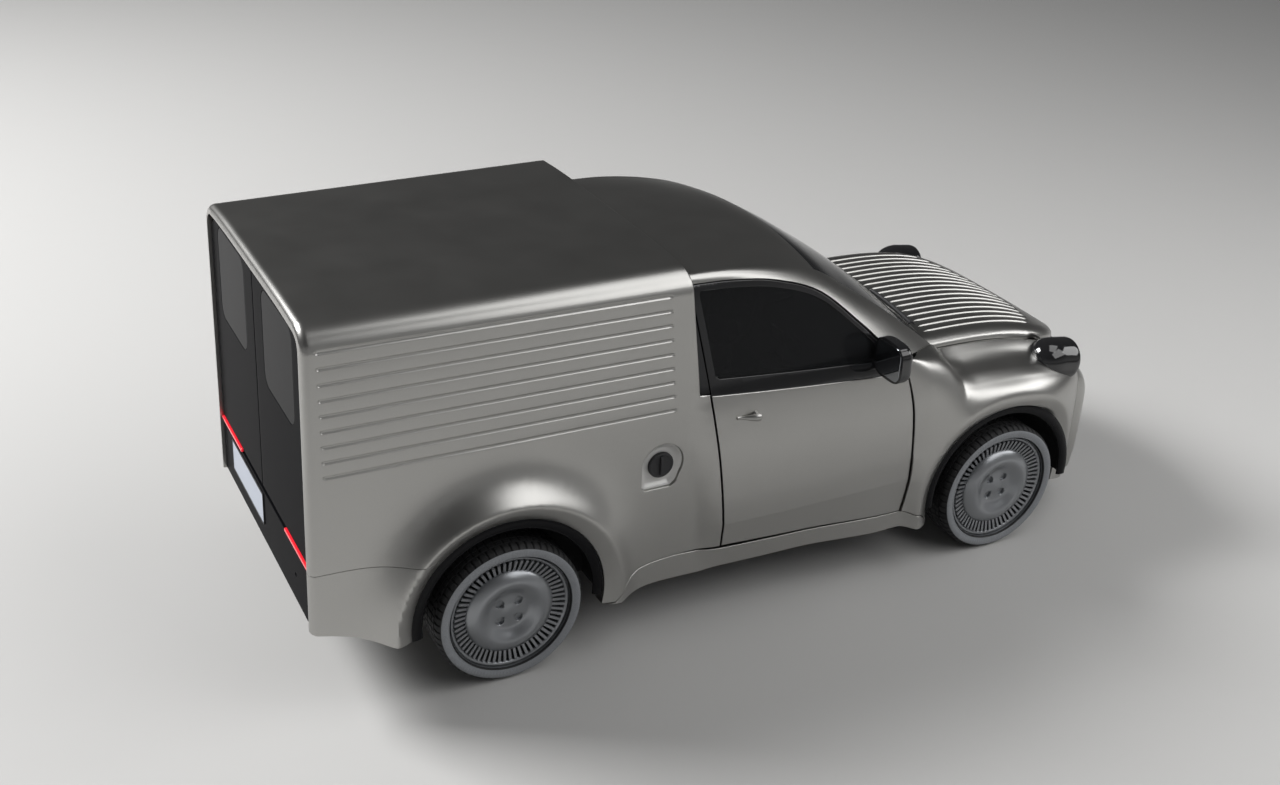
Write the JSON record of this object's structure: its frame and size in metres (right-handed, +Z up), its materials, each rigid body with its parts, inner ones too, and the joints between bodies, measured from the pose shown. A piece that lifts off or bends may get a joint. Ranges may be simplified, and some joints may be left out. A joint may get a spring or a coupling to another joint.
{
  "type": "panel van",
  "caption": "Small panel van with a car-like cab, ribbed bonnet, pod headlamps, flared arches, ribbed load box, swinging doors, steered front wheels and turning wheels.",
  "frame": {"origin": "on the ground under the middle of the van's overall box", "axes": "+X forward, +Y to the van's left, +Z up"},
  "size_m": [4.16, 1.9552, 1.716],
  "materials": {
    "body_paint": "satin metallic grey paint",
    "gloss_black": "gloss black",
    "tinted_glass": "dark tinted glass",
    "black_plastic": "grained black plastic",
    "chassis_steel": "black chassis paint",
    "seat_cloth": "woven seat cloth",
    "lamp_red": "clear red lamp plastic",
    "lamp_clear": "clear lamp lens",
    "engine_metal": "cast alloy",
    "tyre": "tyre rubber",
    "wheel_paint": "silver wheel lacquer"
  },
  "bodies": {
    "body": {"floor_pan": "chassis_steel", "load_floor": "chassis_steel", "sills": "body_paint", "cab_roof": "body_paint", "side_frames": "body_paint", "windscreen": "tinted_glass", "dashboard": "black_plastic", "steering_wheel": "black_plastic", "seats": "seat_cloth", "bulkhead": "body_paint", "load_side_left": "body_paint", "load_side_right": "body_paint", "load_roof": "body_paint", "rear_bumper": "body_paint", "rear_panel": "gloss_black", "tail_lamps": "lamp_red", "filler_cap": "black_plastic", "wings": "body_paint", "nose": "body_paint", "grille": "black_plastic", "headlamps": "gloss_black", "headlamp_lenses": "lamp_clear", "arch_liners": "black_plastic", "subframe": "chassis_steel", "engine": "engine_metal", "rear_axle": "chassis_steel", "fuel_tank": "black_plastic", "exhaust": "chassis_steel"},
    "bonnet": {"bonnet": "body_paint"},
    "door_left": {"door_left": "body_paint", "door_left_glass": "tinted_glass", "door_left_mirror": "gloss_black"},
    "door_right": {"door_right": "body_paint", "door_right_glass": "tinted_glass", "door_right_mirror": "gloss_black"},
    "rear_door_left": {"rear_door_left": "gloss_black", "rear_door_left_glass": "tinted_glass"},
    "rear_door_right": {"rear_door_right": "gloss_black", "rear_door_right_glass": "tinted_glass"},
    "knuckle_left": {"knuckle_left": "chassis_steel"},
    "knuckle_right": {"knuckle_right": "chassis_steel"},
    "wheel_front_left": {"tyre_front_left": "tyre", "rim_front_left": "wheel_paint"},
    "wheel_front_right": {"tyre_front_right": "tyre", "rim_front_right": "wheel_paint"},
    "wheel_rear_left": {"tyre_rear_left": "tyre", "rim_rear_left": "wheel_paint"},
    "wheel_rear_right": {"tyre_rear_right": "tyre", "rim_rear_right": "wheel_paint"}
  },
  "joints": [
    {"name": "bonnet_hinge", "type": "hinge", "parent": "body", "child": "bonnet", "pos_m": [1.046, 0, 1.01], "axis": [0, -1, 0], "range_deg": [0, 50]},
    {"name": "door_left_hinge", "type": "hinge", "parent": "body", "child": "door_left", "pos_m": [0.666, 0.811, 0.7], "axis": [0, 0, -1], "range_deg": [0, 65]},
    {"name": "door_right_hinge", "type": "hinge", "parent": "body", "child": "door_right", "pos_m": [0.666, -0.811, 0.7], "axis": [0, 0, 1], "range_deg": [0, 65]},
    {"name": "rear_door_left_hinge", "type": "hinge", "parent": "body", "child": "rear_door_left", "pos_m": [-2.04209, 0.643, 0.6901], "axis": [-0.0264, 0, -0.9997], "range_deg": [0, 95]},
    {"name": "rear_door_right_hinge", "type": "hinge", "parent": "body", "child": "rear_door_right", "pos_m": [-2.04209, -0.643, 0.6901], "axis": [0.0264, 0, 0.9997], "range_deg": [0, 95]},
    {"name": "steer_left", "type": "hinge", "parent": "body", "child": "knuckle_left", "pos_m": [1.27, 0.68, 0.325], "axis": [0, 0, 1], "range_deg": [-33, 33]},
    {"name": "steer_right", "type": "hinge", "parent": "body", "child": "knuckle_right", "pos_m": [1.27, -0.68, 0.325], "axis": [0, 0, 1], "range_deg": [-33, 33]},
    {"name": "wheel_front_left_spin", "type": "hinge", "parent": "knuckle_left", "child": "wheel_front_left", "pos_m": [1.27, 0.735, 0.325], "axis": [0, 1, 0], "continuous": true},
    {"name": "wheel_front_right_spin", "type": "hinge", "parent": "knuckle_right", "child": "wheel_front_right", "pos_m": [1.27, -0.735, 0.325], "axis": [0, 1, 0], "continuous": true},
    {"name": "wheel_rear_left_spin", "type": "hinge", "parent": "body", "child": "wheel_rear_left", "pos_m": [-1.27, 0.735, 0.325], "axis": [0, 1, 0], "continuous": true},
    {"name": "wheel_rear_right_spin", "type": "hinge", "parent": "body", "child": "wheel_rear_right", "pos_m": [-1.27, -0.735, 0.325], "axis": [0, 1, 0], "continuous": true}
  ],
  "couplings": [
    {"joint": "steer_right", "follows": "steer_left", "ratio": 1}
  ]
}
